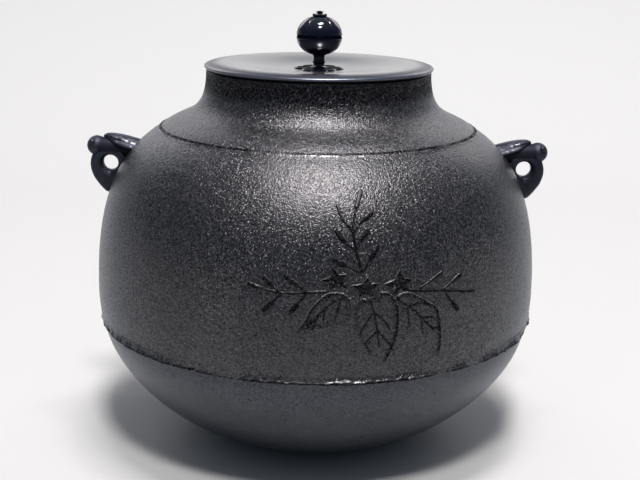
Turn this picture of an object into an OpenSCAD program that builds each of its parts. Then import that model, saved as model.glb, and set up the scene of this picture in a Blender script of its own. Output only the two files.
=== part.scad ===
// Tea-ceremony kettle: a cast-iron body in two castings, joined at a ragged seam, with two
// insect-shaped ring lugs, and a scooped bronze lid with a fruit-shaped knob on a flower seat.
// Millimetres, +Z up, origin on the ground under the kettle's axis. The front is at -Y.

/* [Kettle body] */
// Widest diameter of the belly
belly_d = 243.6; // [220:0.2:270]
// Height of the widest point of the belly
belly_z = 86; // [80:1:96]
// How far the upper belly runs on before it curves in
belly_rise = 48; // [35:1:58]
// Diameter of the raised line on the shoulder
shoulder_d = 174; // [156:1:186]
// Height of the raised line on the shoulder
shoulder_z = 174; // [164:1:182]
// Slope of the shoulder just below the raised line, in degrees
shoulder_slope = 31; // [24:1:38]
// How far the shoulder runs on at that slope
shoulder_run = 28; // [18:1:34]
// Section radius of the raised line
line_r = 0.9; // [0.5:0.1:1.5]
// Outside diameter of the mouth
mouth_d = 122.8; // [110:0.2:130]
// Height of the mouth's rim
mouth_z = 205; // [198:1:215]
// Slope of the neck just above the raised line, in degrees
neck_slope = 41; // [34:1:46]
// How far the foot of the neck runs on at that slope
neck_run = 15.5; // [10:0.5:18]
// Height of the upright stretch of the neck
neck_rise = 26; // [18:1:28]
// Thickness of the cast walls
wall = 4.2; // [3.4:0.1:5]

/* [Seam and bottom] */
// Height of the seam between the two castings
seam_z = 69; // [60:0.5:74]
// How far the skirt draws in from the belly down to the seam
skirt_in = 1.5; // [0.8:0.1:3]
// How far the ragged lip stands out from the skirt
lip_out = 2.2; // [1:0.1:3]
// Height of the ragged lip
lip_h = 4.6; // [3:0.2:7]
// How far the bottom is set in under the skirt
bottom_in = 1; // [0.4:0.1:2]
// Height over which the bottom's rim laps up inside the skirt
lap_h = 12; // [8:0.5:16]
// Thickness of the lute between rim and skirt
lute_t = 1; // [0.6:0.1:1.6]
// Thickness of the bottom's lapped rim
rim_t = 3.6; // [2.6:0.1:4.4]
// Diameter of the flat foot
foot_d = 60; // [52:1:72]
// How far the bottom's side runs down from the seam
bottom_drop = 26.5; // [18:0.5:34]
// How far the bottom spreads out level from the foot
bottom_spread = 46; // [34:1:54]

/* [Sounding plates] */
// Number of iron plates fixed on the inside of the bottom
plates = 3; // [3:1:5]
// Length of a plate
plate_l = 15; // [10:0.5:16]
// Width of a plate
plate_w = 9; // [6:0.5:10]
// Thickness of a plate
plate_t = 2.4; // [1.5:0.1:3.5]

/* [Lugs] */
// Height of the ring hole's axis
lug_z = 152.2; // [146:0.2:156]
// Diameter of the ring hole
lug_hole_d = 8.4; // [6:0.2:10]
// Least metal between the ring hole and the body
lug_root_t = 1.5; // [1:0.1:3]
// Metal round the ring hole on its outer side
lug_ring_t = 7; // [5:0.1:8]
// Breadth of the lug's ring
lug_b = 9.6; // [7:0.2:12]
// Diameter of the insect's head
head_d = 11; // [9:0.2:12]
// Span across both wings
wing_span = 15; // [12:0.5:18]
// Diameter of the root tenon in the wall
tenon_d = 8; // [6:0.2:9]

/* [Lid] */
// Diameter of the lid
lid_d = 124.8; // [122:0.2:132]
// Thickness of the lid's rounded rim
lid_rim_t = 3.9; // [3:0.1:5.5]
// Depth of the scooped top
lid_dish = 3.3; // [2:0.1:4]
// Thickness of the lid's plate
lid_plate_t = 3; // [2.2:0.1:3.6]
// Height of the locating ring under the lid
spigot_h = 5; // [4:0.5:8]
// Thickness of the locating ring
spigot_t = 3; // [2:0.1:4]
// Gap all round between locating ring and mouth
spigot_play = 0.8; // [0.4:0.1:1.5]
// Gap between the closed lid and the mouth's rim
lid_gap = 0.3; // [0.2:0.05:0.6]

/* [Knob] */
// Diameter of the flower seat
seat_d = 27.4; // [22:0.2:32]
// Petals of the flower seat
petals = 6; // [5:1:8]
// Thickness of the seat round the stem
seat_t = 1.4; // [1.1:0.1:2.2]
// Thickness of the seat at its edge
seat_edge = 0.7; // [0.5:0.1:1]
// Height of the stem
stem_h = 6; // [5:0.2:10]
// Diameter of the stem's waist
stem_d = 5.8; // [4.8:0.1:6.2]
// Diameter of the bead on the stem
bead_d = 6.7; // [6.3:0.1:8]
// Diameter of the stem under the ball
stem_top_d = 7.2; // [6:0.1:9]
// Diameter of the ball
ball_d = 24.9; // [20:0.1:30]
// Height of the ball's upper half
ball_up = 10.9; // [8:0.1:13]
// Height of the ball's lower half
ball_down = 10.5; // [8:0.1:13]
// Thickness of the ball's half shells
cup_wall = 1.7; // [1.4:0.1:2.4]
// Grooves from crown to equator
grooves = 5; // [5:1:6]
// Width of a groove
groove_w = 0.8; // [0.5:0.1:1.2]
// Depth of a groove and of the equator's notch
groove_deep = 0.5; // [0.3:0.05:0.6]
// Diameter of the rosette on the crown
rosette_d = 8.4; // [7:0.2:10]
// Thickness of the rosette
rosette_t = 1.3; // [1:0.1:2]
// Diameter of the notched tip
tip_d = 5; // [4:0.1:6]
// Height of the notched tip
tip_h = 1.3; // [1:0.1:2.4]
// Diameter of the rivet through the stem
rivet_d = 3.2; // [2.6:0.1:3.6]
// Diameter of the rivet's upper end
rivet_end_d = 1.8; // [1.2:0.1:2.2]
// Diameter of the washer under the lid
washer_d = 12; // [9:0.5:15]
// Thickness of the washer
washer_t = 1; // [0.8:0.1:1.6]
// Diameter of the hammered rivet head
peen_d = 6.4; // [5:0.1:8]
// Height of the hammered rivet head
peen_h = 1.2; // [0.8:0.1:1.8]

/* [Fits] */
// Gap between pieces that are fixed together
fixed_gap = 0.05; // [0.03:0.01:0.1]
// Radial play of the rivet in the lid, so that the knob turns
turn_play = 0.1; // [0.05:0.01:0.1]
// End play of the knob on its seat and of the washer under the lid
end_play = 0.2; // [0.1:0.05:0.4]

/* [Hidden] */
$fn = 96;

// Points on each stretch of a curved outline
steps = 14;
// Facets round the balls that the lugs are blended from
ball_fn = 20;

iron = [0.16, 0.15, 0.145];
iron_blue = [0.15, 0.16, 0.18];
iron_dark = [0.10, 0.10, 0.12];
lute_black = [0.06, 0.05, 0.05];
bronze_grey = [0.30, 0.30, 0.32];
bronze_black = [0.05, 0.05, 0.08];

belly_r = belly_d / 2;
shoulder_r = shoulder_d / 2;
mouth_r = mouth_d / 2;
mouth_in_r = mouth_r - wall;
skirt_r = belly_r - skirt_in;
skirt_in_r = skirt_r - wall;
lap_r = skirt_in_r - lute_t;
rim_in_r = lap_r - rim_t;
foot_r = foot_d / 2;
lap_top_z = seam_z + lap_h;

hole_r = lug_hole_d / 2;

lid_r = lid_d / 2;
lid_z = mouth_z + lid_gap;
lid_nose_r = lid_rim_t / 2;
lid_crest_r = lid_r - lid_nose_r;
lid_crest_z = lid_z + lid_rim_t;
lid_top_z = lid_crest_z - lid_dish;
lid_under_z = lid_top_z - lid_plate_t;
land_r = seat_d / 2 + 1.3;
spigot_r = mouth_in_r - spigot_play;
spigot_in_r = spigot_r - spigot_t;

rivet_r = rivet_d / 2;
turn_bore_r = rivet_r + turn_play;
fixed_bore_r = rivet_r + fixed_gap;
end_bore_r = rivet_end_d / 2 + fixed_gap;
stem_z = lid_top_z + seat_t + end_play;
ball_r = ball_d / 2;
ball_foot = ball_down * sqrt(1 - pow(stem_top_d / ball_d, 2));
ball_z = stem_z + stem_h + ball_foot + fixed_gap;
crown_r = rosette_d / 2 - 0.6;
crown = ball_up * sqrt(1 - pow(crown_r / ball_r, 2));
rosette_z = ball_z + crown + fixed_gap;
tip_z = rosette_z + rosette_t + fixed_gap;
cup_lap = 1.5;
cup_lap_r = ball_r - cup_wall * 0.55;
notch_angle = 4;
washer_z = lid_under_z - end_play - washer_t;
peen_z = washer_z - fixed_gap;

// A point on the cubic curve with end points a and d and handles b and c
function curve_point(a, b, c, d, t) =
  pow(1 - t, 3) * a + 3 * pow(1 - t, 2) * t * b + 3 * (1 - t) * t * t * c + pow(t, 3) * d;
function curve(a, b, c, d, first = 0) =
  [for (i = [first:steps]) curve_point(a, b, c, d, i / steps)];

// The unit vector square to an outline at point i, to the left of its run
function side_of(p, i) =
  let (a = p[max(i - 1, 0)], b = p[min(i + 1, len(p) - 1)], d = b - a)
  [-d.y, d.x] / norm(d);
// An outline moved sideways by a distance
function beside(p, gap) = [for (i = [0:len(p) - 1]) p[i] + gap * side_of(p, i)];
function reversed(p) = [for (i = [len(p) - 1:-1:0]) p[i]];
// Points on an ellipse between two angles
function ellipse_arc(a, b, from, to, n) =
  [for (i = [0:n]) let (t = from + (to - from) * i / n) [a * cos(t), b * sin(t)]];

// Outside of the shell from the skirt up to the mouth
skirt_point = [skirt_r, seam_z + fixed_gap];
belly_point = [belly_r, belly_z];
line_point = [shoulder_r, shoulder_z];
mouth_point = [mouth_r, mouth_z];
skirt_curve = curve(
  skirt_point,
  skirt_point + [skirt_in / 2, (belly_z - seam_z) / 3],
  belly_point - [0, (belly_z - seam_z) / 3],
  belly_point
);
belly_curve = curve(
  belly_point,
  belly_point + [0, belly_rise],
  line_point + shoulder_run * [cos(shoulder_slope), -sin(shoulder_slope)],
  line_point,
  1
);
neck_curve = curve(
  line_point,
  line_point + neck_run * [-cos(neck_slope), sin(neck_slope)],
  mouth_point - [0, neck_rise],
  mouth_point,
  1
);
shell_outside = concat(skirt_curve, belly_curve, neck_curve);
shell_inside = concat(
  [for (p = beside(shell_outside, wall)) if (p.y > lap_top_z + 2 && p.y < mouth_z - wall / 2) p],
  [[mouth_in_r, mouth_z]]
);

// Outside of the bottom from the foot up to the seam
bottom_r = skirt_r - bottom_in;
bottom_outside = curve(
  [foot_r, 0],
  [foot_r + bottom_spread, 0],
  [bottom_r - bottom_drop * sin(3.3), seam_z - bottom_drop * cos(3.3)],
  [bottom_r, seam_z]
);
bottom_inside = [for (p = beside(bottom_outside, wall)) [min(p.x, rim_in_r), p.y]];

// Radius of the shell's outside at a height
function shell_r(z) = lookup(z, [for (p = shell_outside) [p.y, p.x]]);
// The hole stands clear of the body all round its edge
hole_x = lug_root_t + max([for (a = [-90:10:90]) shell_r(lug_z + hole_r * sin(a)) + hole_r * cos(a)]);
ring_r = hole_r + lug_ring_t;
tenon_z = lug_z - hole_r - tenon_d / 2 - 2.6;

// The space filled by the shell's outside, widened by a gap, where a lug stands on it
module lug_ground(gap) {
  near = [for (p = shell_outside) if (abs(p.y - lug_z) < 34) p];
  low = near[0];
  high = near[len(near) - 1];
  rotate_extrude() polygon(concat([[0, low.y]], beside(near, -gap), [[0, high.y]]));
}

// The hollow inside the shell above the lap
module shell_hollow() {
  low = shell_inside[0];
  rotate_extrude() polygon(concat([[0, low.y]], shell_inside, [[0, mouth_z]]));
}

// A round peg along X that sits in the wall on the +X side
module tenon(r) {
  start = shell_r(tenon_z) - 3 * wall;
  translate([start, 0, tenon_z]) rotate([0, 90, 0]) cylinder(r = r, h = hole_x + 3 - start);
}

module kettle_shell() {
  lap_low = [skirt_in_r, seam_z + fixed_gap];
  lap_high = [skirt_in_r, lap_top_z + fixed_gap];
  lip_foot = [skirt_r - wall / 2, seam_z + fixed_gap];
  lip = [
    lip_foot,
    lip_foot + [wall / 2 + lip_out * 0.7, 0],
    lip_foot + [wall / 2 + lip_out, lip_h * 0.4],
    lip_foot + [wall / 2 + lip_out * 0.6, lip_h * 0.75],
    lip_foot + [wall / 2, lip_h]
  ];
  color(iron)
    difference() {
      union() {
        rotate_extrude() polygon(concat(shell_outside, reversed(shell_inside), [lap_high, lap_low]));
        rotate_extrude() polygon(lip);
        rotate_extrude() translate([shoulder_r - line_r * 0.3, shoulder_z]) circle(r = line_r);
      }
      for (side = [0, 1]) mirror([side, 0, 0]) tenon(tenon_d / 2 + fixed_gap);
    }
}

module kettle_bottom() {
  rim = [
    [lap_r, seam_z],
    [lap_r, lap_top_z],
    [rim_in_r, lap_top_z]
  ];
  color(iron_blue)
    rotate_extrude()
      polygon(concat([[0, 0]], bottom_outside, rim, reversed(bottom_inside), [[0, wall]]));
}

module seam_lute() {
  color(lute_black)
    translate([0, 0, seam_z + fixed_gap])
      difference() {
        cylinder(r = skirt_in_r - fixed_gap, h = lap_h - fixed_gap);
        translate([0, 0, -1]) cylinder(r = lap_r + fixed_gap, h = lap_h + 2);
      }
}

// One plate of the inner bottom, a flat tablet with rounded corners
module plate() {
  corner = plate_w / 4;
  linear_extrude(plate_t)
    union() {
      square([plate_l, plate_w - 2 * corner], center = true);
      square([plate_l - 2 * corner, plate_w], center = true);
      for (x = [-1, 1], y = [-1, 1])
        translate([x * (plate_l / 2 - corner), y * (plate_w / 2 - corner)]) circle(r = corner);
    }
}

module sounding_plates() {
  circle_r = foot_r - plate_w / 2 - 6;
  color(iron_dark)
    for (i = [0:plates - 1])
      rotate([0, 0, 360 * i / plates]) translate([0, -circle_r, wall]) plate();
}

// A ball at a place given from the ring hole's axis: out, across, up
module lug_ball(r, p) {
  translate([hole_x, 0, lug_z] + p) sphere(r = r, $fn = ball_fn);
}

// A disc with bevelled edges, square to Y, at a place given from the ring hole's axis
module lug_disc(r, b, p) {
  bevel = b / 4;
  translate([hole_x, 0, lug_z] + p)
    rotate([90, 0, 0]) {
      cylinder(r = r, h = b - 2 * bevel, center = true, $fn = 40);
      cylinder(r = r - bevel * 0.8, h = b, center = true, $fn = 40);
    }
}

// The insect on the +X side: a curled tail round the hole, a trunk, a head with eyes, folded wings
module lug_insect() {
  head_r = head_d / 2;
  head_at = [ring_r - 3.7, 0, hole_r + 5];
  wing_r = 1.1;
  wing_top = head_at.z + head_r + 1 - wing_r;
  depth = hole_x - shell_r(lug_z + wing_top) + 3;
  hull() {
    lug_disc(ring_r, lug_b, [0, 0, -0.6]);
    lug_disc(3.2, lug_b * 0.8, [-1, 0, -ring_r - 3.6]);
    lug_disc(4, lug_b, [-depth / 2, 0, hole_r]);
  }
  hull() {
    lug_ball(head_r * 0.92, head_at - [1, 0, 0]);
    lug_ball(head_r * 0.86, [-depth, 0, head_at.z - 1]);
  }
  lug_ball(head_r, head_at);
  for (y = [-1, 1]) {
    lug_ball(head_r * 0.3, head_at + head_r * [0.35, y * 0.72, 0.5]);
    hull() {
      lug_ball(wing_r, [head_at.x - 4.4, y * 1.6, wing_top - 0.6]);
      lug_ball(wing_r, [head_at.x - 10, y * (wing_span / 2 - wing_r), wing_top - 4.6]);
      lug_ball(wing_r, [-depth, y * 1.6, wing_top - 3.2]);
      lug_ball(wing_r, [-depth, y * (wing_span / 2 - wing_r), wing_top - 8]);
      lug_ball(wing_r, [head_at.x - 10, y * 1.8, wing_top]);
    }
  }
}

module lug_piece() {
  color(iron_dark)
    union() {
      difference() {
        lug_insect();
        lug_ground(fixed_gap);
        translate([hole_x, 0, lug_z]) rotate([90, 0, 0]) cylinder(r = hole_r, h = 2 * lug_b, center = true);
      }
      difference() {
        tenon(tenon_d / 2);
        shell_hollow();
      }
    }
}

module lug_right() { lug_piece(); }

module lug_left() { mirror([1, 0, 0]) lug_piece(); }

module lid() {
  nose = [
    for (p = ellipse_arc(lid_nose_r, lid_nose_r, -90, 90, steps))
      p + [lid_crest_r, lid_z + lid_nose_r]
  ];
  scoop = [
    for (i = [1:steps])
      let (u = 1 - i / steps)
      [land_r + (lid_crest_r - land_r) * u, lid_top_z + lid_dish * u * u]
  ];
  belly = [
    for (i = [0:steps])
      let (u = i / steps)
      [land_r + (spigot_in_r - land_r) * u, lid_under_z + lid_dish * 0.55 * u * u]
  ];
  spigot = [
    [spigot_in_r, lid_z - spigot_h],
    [spigot_r, lid_z - spigot_h],
    [spigot_r, lid_z]
  ];
  color(bronze_grey)
    rotate_extrude()
      polygon(concat([[turn_bore_r, lid_under_z]], belly, spigot, nose, scoop, [[turn_bore_r, lid_top_z]]));
}

// The outline of a flower with n petals that reach out to radius r
module flower(n, r) {
  petal_r = r * sin(180 / n) / (1 + sin(180 / n)) * 1.12;
  circle(r = r - petal_r);
  for (i = [0:n - 1]) rotate(360 * (i + 0.5) / n) translate([0, r - petal_r]) circle(r = petal_r);
}

module knob_seat() {
  edge_r = seat_d / 2;
  hub_r = bead_d / 2 + 1.2;
  section = [
    [turn_bore_r, 0],
    [edge_r, 0],
    [edge_r, seat_edge * 0.6],
    [edge_r - 1.2, seat_edge],
    [hub_r + 1.5, seat_t - 0.3],
    [hub_r, seat_t],
    [turn_bore_r, seat_t]
  ];
  color(bronze_black)
    translate([0, 0, lid_top_z])
      intersection() {
        rotate_extrude() polygon(section);
        linear_extrude(seat_t) flower(petals, edge_r);
      }
}

module knob_stem() {
  foot_z = 1.2;
  bead_r = 0.8;
  bead_z = foot_z + bead_r;
  neck = curve(
    [stem_d / 2 + 0.2, bead_z + bead_r],
    [stem_d / 2 - 0.2, stem_h * 0.6],
    [stem_d / 2, stem_h * 0.8],
    [stem_top_d / 2, stem_h]
  );
  foot = [
    [fixed_bore_r, 0],
    [stem_d / 2 + 0.35, 0],
    [stem_d / 2 + 0.1, foot_z]
  ];
  color(bronze_black)
    translate([0, 0, stem_z])
      rotate_extrude()
        union() {
          polygon(concat(foot, neck, [[fixed_bore_r, stem_h]]));
          translate([bead_d / 2 - bead_r, bead_z]) circle(r = bead_r);
        }
}

module knob_lower_half() {
  in_r = ball_r - cup_wall;
  in_h = ball_down - cup_wall;
  foot_angle = acos(stem_top_d / ball_d);
  lap_angle = asin((cup_lap + 0.1) / in_h);
  bore_angle = acos(fixed_bore_r / in_r);
  outside = ellipse_arc(ball_r, -ball_down, foot_angle, notch_angle, steps);
  inside = ellipse_arc(in_r, -in_h, lap_angle, bore_angle, steps);
  rim = [
    [ball_r - groove_deep, 0],
    [cup_lap_r, 0],
    [cup_lap_r, -cup_lap],
    [in_r * cos(lap_angle), -cup_lap]
  ];
  color(bronze_black)
    translate([0, 0, ball_z])
      rotate_extrude() polygon(concat([[fixed_bore_r, -ball_foot]], outside, rim, inside));
}

// A groove from the crown down to the equator, in the half plane of +X
module crown_groove() {
  outer = ellipse_arc(ball_r + 1, ball_up + 1, 12, 70, steps);
  inner = ellipse_arc(ball_r - groove_deep, ball_up - groove_deep, 70, 12, steps);
  rotate([90, 0, 0]) linear_extrude(groove_w, center = true) polygon(concat(outer, inner));
}

module knob_upper_half() {
  in_r = ball_r - cup_wall;
  in_h = ball_up - cup_wall;
  crown_angle = acos(crown_r / ball_r);
  bore_angle = acos(end_bore_r / in_r);
  outside = ellipse_arc(ball_r, ball_up, notch_angle, crown_angle, steps);
  inside = ellipse_arc(in_r, in_h, bore_angle, 0, steps);
  rim = [
    [in_r, fixed_gap - cup_lap],
    [cup_lap_r - fixed_gap, fixed_gap - cup_lap],
    [cup_lap_r - fixed_gap, fixed_gap],
    [ball_r - groove_deep, fixed_gap]
  ];
  color(bronze_black)
    translate([0, 0, ball_z])
      difference() {
        rotate_extrude() polygon(concat(outside, [[end_bore_r, crown]], inside, rim));
        for (i = [0:grooves - 1]) rotate([0, 0, 360 * (i + 0.5) / grooves - 90]) crown_groove();
      }
}

module knob_rosette() {
  edge_r = rosette_d / 2;
  color(bronze_black)
    translate([0, 0, rosette_z])
      intersection() {
        rotate_extrude()
          polygon(concat(
            [[end_bore_r, 0]],
            [for (p = ellipse_arc(1, rosette_t / 2, -90, 90, steps)) p + [edge_r - 0.8, rosette_t / 2]],
            [[end_bore_r, rosette_t]]
          ));
        linear_extrude(rosette_t) flower(petals + 2, edge_r);
      }
}

module knob_tip() {
  waist_r = tip_d * 0.36;
  color(bronze_black)
    translate([0, 0, tip_z])
      difference() {
        cylinder(r1 = waist_r, r2 = tip_d / 2, h = tip_h);
        translate([0, 0, -1]) cylinder(r = end_bore_r, h = tip_h + 2);
        for (i = [0:3])
          rotate([0, 0, 90 * i + 45])
            translate([end_bore_r + 0.4, -tip_d / 12, tip_h * 0.6]) cube([tip_d, tip_d / 6, tip_h]);
      }
}

module knob_rivet() {
  end_z = ball_z + crown - cup_wall - 0.6;
  top_z = tip_z + tip_h * 0.8;
  dome = [
    for (p = ellipse_arc(peen_d / 2, peen_h, -90, 0, steps)) p + [0, peen_z]
  ];
  color(bronze_black)
    rotate_extrude()
      polygon(concat(
        dome,
        [[rivet_r, peen_z], [rivet_r, end_z], [rivet_end_d / 2, end_z], [rivet_end_d / 2, top_z], [0, top_z]]
      ));
}

module rivet_washer() {
  color(bronze_black)
    translate([0, 0, washer_z])
      difference() {
        cylinder(d = washer_d, h = washer_t);
        translate([0, 0, -1]) cylinder(r = fixed_bore_r, h = washer_t + 2);
      }
}

kettle_shell();
kettle_bottom();
seam_lute();
lug_left();
lug_right();
sounding_plates();
lid();
knob_seat();
knob_stem();
knob_lower_half();
knob_upper_half();
knob_rosette();
knob_tip();
knob_rivet();
rivet_washer();
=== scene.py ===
"""Looks of a tea-ceremony kettle: grainy cast iron with a leaf-and-bud spray in low relief on the belly,
a broken brim along the seam, insect-shaped ring lugs, and a scooped bronze lid with a fruit-shaped knob."""
import math

import bpy
import numpy as np
from mathutils import Matrix, Vector


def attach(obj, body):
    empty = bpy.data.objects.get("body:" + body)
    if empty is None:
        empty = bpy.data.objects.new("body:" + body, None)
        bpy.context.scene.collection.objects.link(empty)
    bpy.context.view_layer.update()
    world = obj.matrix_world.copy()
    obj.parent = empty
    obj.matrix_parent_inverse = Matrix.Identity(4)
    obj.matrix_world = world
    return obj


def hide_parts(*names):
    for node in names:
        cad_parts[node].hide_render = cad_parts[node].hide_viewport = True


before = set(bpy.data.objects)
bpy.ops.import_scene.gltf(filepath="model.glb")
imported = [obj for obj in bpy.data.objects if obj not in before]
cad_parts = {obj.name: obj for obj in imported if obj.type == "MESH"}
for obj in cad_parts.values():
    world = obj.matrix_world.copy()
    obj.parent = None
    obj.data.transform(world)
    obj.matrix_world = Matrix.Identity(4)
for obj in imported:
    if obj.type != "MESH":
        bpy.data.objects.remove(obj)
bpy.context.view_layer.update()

MM = 0.001
rng = np.random.default_rng(7)

# The kettle's outline, in millimetres, as in the part's source: radius, height
FOOT = (30.0, 0.0)
BOTTOM_RIM = (119.3, 69.0)
SKIRT = (120.3, 69.05)
BELLY = (121.8, 86.0)
SHOULDER = (87.0, 174.0)
MOUTH = (61.4, 205.0)
WALL = 4.2
LAP_R = 116.1
LAP_TOP = 81.05
RIM_R = (115.1, 111.5)
RIM_TOP = 81.0
LIP_OUT = 2.2
LINE_H = 0.45
# Breaks of the mouth's outer and inner edge, the stretch below it over which the waves die out, and the
# height where painted shade starts to darken the neck under the lid, with the stretch that this takes
MOUTH_BREAK = (0.3, 0.6)
MOUTH_FADE = 12.0
NECK_PAINTED_SHADE = (189.0, 9.0)
# Handles of the outline's curves, in millimetres, and the slopes that they follow, in degrees
SKIRT_FLARE = 0.75
BELLY_HANDLE = 48.0
SHOULDER_HANDLE = 28.0
SHOULDER_SLOPE = 31.0
NECK_HANDLE = 15.5
NECK_SLOPE = 41.0
MOUTH_HANDLE = 26.0
FOOT_HANDLE = 46.0
SEAM_HANDLE = 26.5
SEAM_LEAN = 3.3


# Curves and grids

def curve(a, b, c, d, n=60):
    """Cubic curve with end points a and d and handles b and c, at n + 1 even steps of its parameter."""
    t = np.linspace(0, 1, n + 1)[:, None]
    a, b, c, d = (np.asarray(p, float) for p in (a, b, c, d))
    return (1 - t) ** 3 * a + 3 * (1 - t) ** 2 * t * b + 3 * (1 - t) * t * t * c + t ** 3 * d


def along(path):
    """Distance from the start of a path to each of its points."""
    return np.concatenate([[0], np.cumsum(np.linalg.norm(np.diff(path, axis=0), axis=1))])


def at_distance(path, stops):
    """Points of a path at the given distances from its start, straight between its own points."""
    d = along(path)
    return np.stack([np.interp(stops, d, path[:, k]) for k in range(path.shape[1])], 1)


def evenly(path, step):
    """The path with points about one step apart."""
    total = along(path)[-1]
    return at_distance(path, np.linspace(0, total, max(2, int(round(total / step)) + 1)))


def through(points, step):
    """Smooth curve through the points: each stretch is a cubic whose handles lie a sixth of the way
    along the line between the points on both sides."""
    p = np.asarray(points, float)
    ends = np.concatenate([[2 * p[0] - p[1]], p, [2 * p[-1] - p[-2]]])
    parts = [
        curve(b, b + (c - a) / 6, c - (d - b) / 6, c, 24)[: None if last else -1]
        for a, b, c, d, last in zip(ends, ends[1:], ends[2:], ends[3:], [False] * (len(p) - 2) + [True])
    ]
    return evenly(np.concatenate(parts), step)


def sideways(path):
    """Unit vectors square to a path in its plane, to the left of its run."""
    run = np.gradient(path, axis=0)
    run /= np.linalg.norm(run, axis=1, keepdims=True)
    return np.stack([-run[:, 1], run[:, 0]], 1)


def round_axis(r, angles, z):
    """Points at radius r and height z round the kettle's axis, at angles from the front that grow towards
    the right."""
    return np.stack(np.broadcast_arrays(r * np.sin(angles), -r * np.cos(angles), z), -1)


def turned(profile, angles):
    """The profile (radius, height) carried round the kettle's axis: rows are profile points, columns are
    angles."""
    return round_axis(profile[:, :1], angles, profile[:, 1:])


def ring_angles(n):
    """n even angles round the axis, from the front."""
    return np.arange(n) * (2 * math.pi / n)


def eased(x):
    """0 up to 0, 1 from 1 on, smooth between."""
    x = np.clip(x, 0, 1)
    return x * x * (3 - 2 * x)


def ring_noise(angles, count):
    """Noise round a ring: count seeded values at even angles, joined by eased stretches."""
    values = rng.uniform(-1, 1, count)
    place = np.mod(angles / (2 * math.pi), 1) * count
    low = np.floor(place).astype(int)
    share = eased(place - low)
    return values[low % count] * (1 - share) + values[(low + 1) % count] * share


def waver(angles, start, *waves):
    """Start plus waves of noise round a ring, each given by its size and its count."""
    for size, count in waves:
        start = start + size * ring_noise(angles, count)
    return start


def smooth_mesh(name, points, faces, finish):
    """A smooth-shaded mesh of points in metres, with one finish."""
    mesh = bpy.data.meshes.new(name)
    mesh.from_pydata(points.tolist(), [], faces)
    mesh.polygons.foreach_set("use_smooth", np.ones(len(mesh.polygons), bool))
    mesh.materials.append(finish)
    return mesh


def placed(name, data):
    """A new object with that data, in the scene."""
    obj = bpy.data.objects.new(name, data)
    bpy.context.scene.collection.objects.link(obj)
    return obj


class Skin:
    """Grids of points that become one mesh; every grid is a closed shell with its faces outwards."""

    def __init__(self):
        self.points, self.faces, self.wear, self.count = [], [], [], 0

    def add(self, grid, loop=False, wear=0.0):
        """Rows by columns of points. The last column joins the first. With loop the last row joins the
        first, and otherwise a fan to the middle of its row closes each end. The last argument carries the
        painted light: -1 where painted shade lies dull and dark, in recesses, under edges and on faces
        turned from the lamps, and 1 where a painted highlight lies on an edge or, on the lid, where the rim
        is painted dark."""
        rows, cols = grid.shape[:2]
        ids = np.arange(rows * cols).reshape(rows, cols)
        here, there = (ids, np.roll(ids, -1, 0)) if loop else (ids[:-1], ids[1:])
        quads = np.stack([here, np.roll(here, -1, 1), np.roll(there, -1, 1), there], -1).reshape(-1, 4)
        points = grid.reshape(-1, 3)
        fans = np.zeros((0, 3), int)
        if not loop:
            first, last = ids[0], ids[-1]
            hub = len(points)
            points = np.concatenate([points, grid[:1].mean(1), grid[-1:].mean(1)])
            fans = np.concatenate([
                np.stack([np.roll(first, -1), first, np.full(cols, hub)], 1),
                np.stack([last, np.roll(last, -1), np.full(cols, hub + 1)], 1),
            ])
        corners = np.concatenate([points[quads[:, [0, 1, 2]]], points[quads[:, [0, 2, 3]]], points[fans]])
        volume = np.einsum("ij,ij->i", corners[:, 0], np.cross(corners[:, 1], corners[:, 2])).sum()
        if volume < 0:
            quads, fans = quads[:, ::-1], fans[:, ::-1]
        self.faces += (quads + self.count).tolist() + (fans + self.count).tolist()
        self.points.append(points)
        self.wear.append(np.zeros(len(points)))
        self.wear[-1][: rows * cols] = np.broadcast_to(wear, (rows, cols)).ravel()
        self.count += len(points)
        return self

    def piece(self, name, body, node, slot, finish, crease=38):
        """The mesh as a piece that rides on a body, stands for a CAD node and has one finish; edges that
        turn by more than the crease, in degrees, stay sharp."""
        mesh = smooth_mesh(name, np.concatenate(self.points) * MM, self.faces, finish)
        mesh.set_sharp_from_angle(angle=math.radians(crease))
        # The painted light goes on the mesh as an attribute: painted shade below 0, painted highlights
        # above.
        mesh.attributes.new("wear", "FLOAT", "POINT").data.foreach_set("value", np.concatenate(self.wear))
        obj = placed(name, mesh)
        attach(obj, body)
        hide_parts(node)


# Finishes

class Value:
    """A socket on its way to a shader; arithmetic on it adds Math nodes."""

    def __init__(self, nodes, socket):
        self.nodes, self.socket = nodes, socket

    def _math(self, operation, other):
        """A Math node of this value and another."""
        return self.nodes.node("ShaderNodeMath", {"operation": operation}, {0: self, 1: other})

    def __add__(self, other):
        return self._math("ADD", other)

    __radd__ = __add__

    def __mul__(self, other):
        return self._math("MULTIPLY", other)

    __rmul__ = __mul__

    def __sub__(self, other):
        return self._math("SUBTRACT", other)

    def __rsub__(self, other):
        return self * -1 + other

    def __pow__(self, power):
        return self._math("POWER", power)

    def between(self, low, high):
        """0 below low, 1 above high, eased between them."""
        settings = {"interpolation_type": "SMOOTHSTEP"}
        inputs = {"Value": self, "From Min": low, "From Max": high}
        return self.nodes.node("ShaderNodeMapRange", settings, inputs)


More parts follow.
